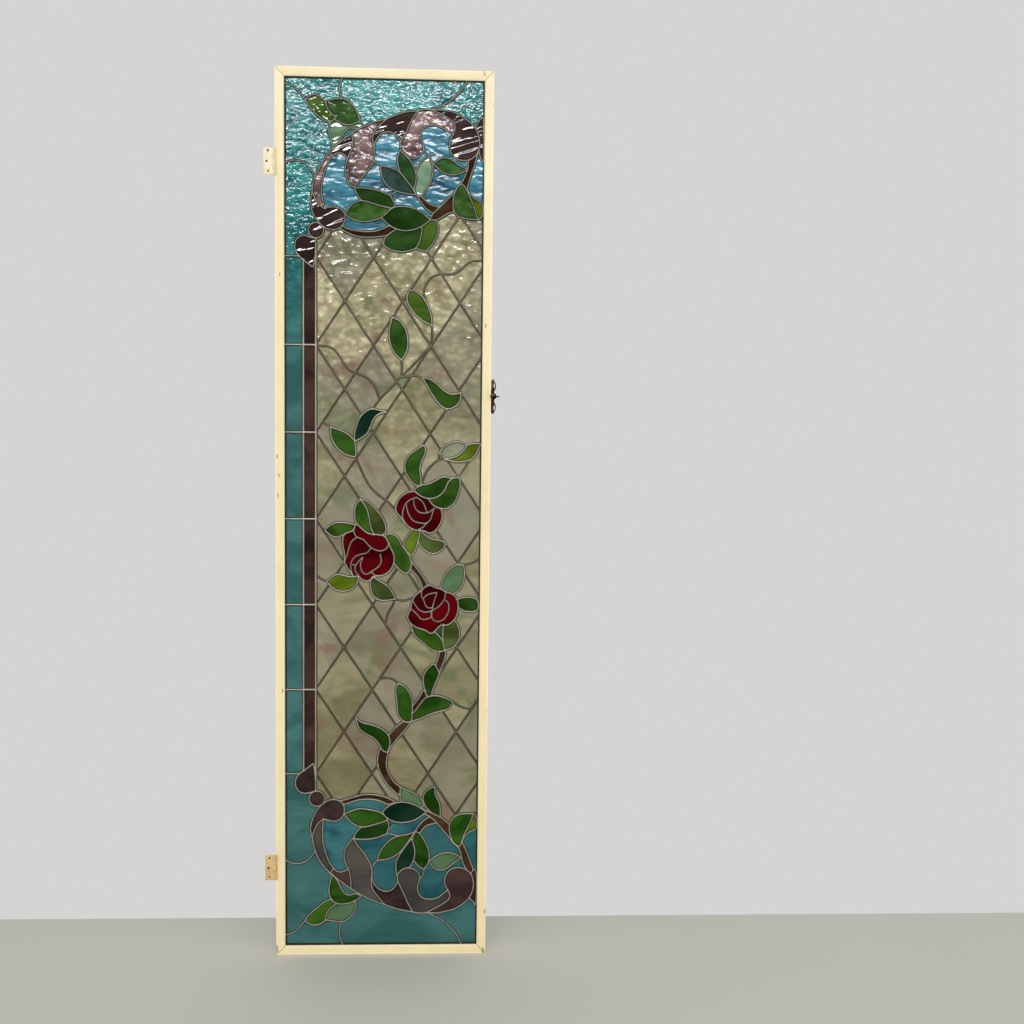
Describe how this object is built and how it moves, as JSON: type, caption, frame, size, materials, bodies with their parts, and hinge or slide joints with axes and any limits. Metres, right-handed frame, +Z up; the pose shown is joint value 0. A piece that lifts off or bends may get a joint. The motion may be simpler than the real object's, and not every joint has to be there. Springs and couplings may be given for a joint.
{
  "type": "stained glass window leaf",
  "caption": "Tall narrow stained glass leaf: floral leaded panel with a diamond lattice and scrolled ends, in a slim painted frame with butt hinges and a knob latch.",
  "frame": {"origin": "middle of the fixing face of the upper hinge's free plate, on the hinge line's outer side, where the leaf is screwed to its jamb", "axes": "+X across the leaf from its hinged stile to its latch stile, +Y through the leaf away from the side that shows the leads in relief, +Z up"},
  "size_m": [0.5441, 0.0456, 2.08],
  "materials": {
    "frame_paint": "worn cream paint",
    "lead": "dull grey came lead",
    "hinge_cream": "chipped cream paint",
    "hinge_brassed": "tarnished",
    "latch_brass": "antique",
    "glass_plum": "rippled",
    "glass_blue": "rippled",
    "glass_teal": "rippled",
    "glass_clear": "hammered, pale amber tint",
    "glass_red": "smooth",
    "glass_brown": "smooth",
    "glass_green": "streaky"
  },
  "bodies": {
    "root": {"hinge_lower_jamb_plate": "hinge_brassed", "hinge_lower_pin": "hinge_brassed", "hinge_upper_jamb_plate": "hinge_cream", "hinge_upper_pin": "hinge_cream"},
    "sash": {"bead_bottom": "frame_paint", "bead_left": "frame_paint", "bead_right": "frame_paint", "bead_top": "frame_paint", "glass_blue_lower_1": "glass_blue", "glass_blue_lower_2": "glass_blue", "glass_blue_lower_3": "glass_blue", "glass_blue_lower_4": "glass_blue", "glass_blue_lower_5": "glass_blue", "glass_blue_lower_6": "glass_blue", "glass_blue_upper_1": "glass_blue", "glass_blue_upper_2": "glass_blue", "glass_blue_upper_3": "glass_blue", "glass_blue_upper_4": "glass_blue", "glass_blue_upper_5": "glass_blue", "glass_blue_upper_6": "glass_blue", "glass_corner_lower": "glass_green", "glass_corner_upper": "glass_green", "glass_diamonds": "glass_clear", "glass_half_lower": "glass_plum", "glass_half_upper": "glass_plum", "glass_leaf_1": "glass_green", "glass_leaf_10": "glass_green", "glass_leaf_11": "glass_green", "glass_leaf_12": "glass_green", "glass_leaf_13": "glass_green", "glass_leaf_14": "glass_green", "glass_leaf_2": "glass_green", "glass_leaf_3": "glass_green", "glass_leaf_4": "glass_green", "glass_leaf_5": "glass_green", "glass_leaf_6": "glass_green", "glass_leaf_7": "glass_green", "glass_leaf_8": "glass_green", "glass_leaf_9": "glass_green", "glass_rose_1": "glass_red", "glass_rose_2": "glass_red", "glass_rose_3": "glass_red", "glass_scroll_lower": "glass_plum", "glass_scroll_upper": "glass_plum", "glass_spray_lower_1": "glass_green", "glass_spray_lower_2": "glass_green", "glass_spray_upper": "glass_green", "glass_stem_1": "glass_brown", "glass_strip": "glass_plum", "glass_teal": "glass_teal", "glass_vine": "glass_green", "hinge_lower_sash_plate": "hinge_brassed", "hinge_upper_sash_plate": "hinge_cream", "latch_plate": "latch_brass", "leading": "lead", "rail_bottom": "frame_paint", "rail_top": "frame_paint", "stile_left": "frame_paint", "stile_right": "frame_paint"},
    "latch": {"latch_knob": "latch_brass"}
  },
  "joints": [
    {"name": "sash_swing", "type": "hinge", "parent": "root", "child": "sash", "pos_m": [0.0096, 0.002, 0], "axis": [0, 0, 1], "range_deg": [-90, 90]},
    {"name": "latch_turn", "type": "hinge", "parent": "sash", "child": "latch", "pos_m": [0.5157, -0.0047, -0.527], "axis": [0, -1, 0], "range_deg": [0, 90]}
  ]
}
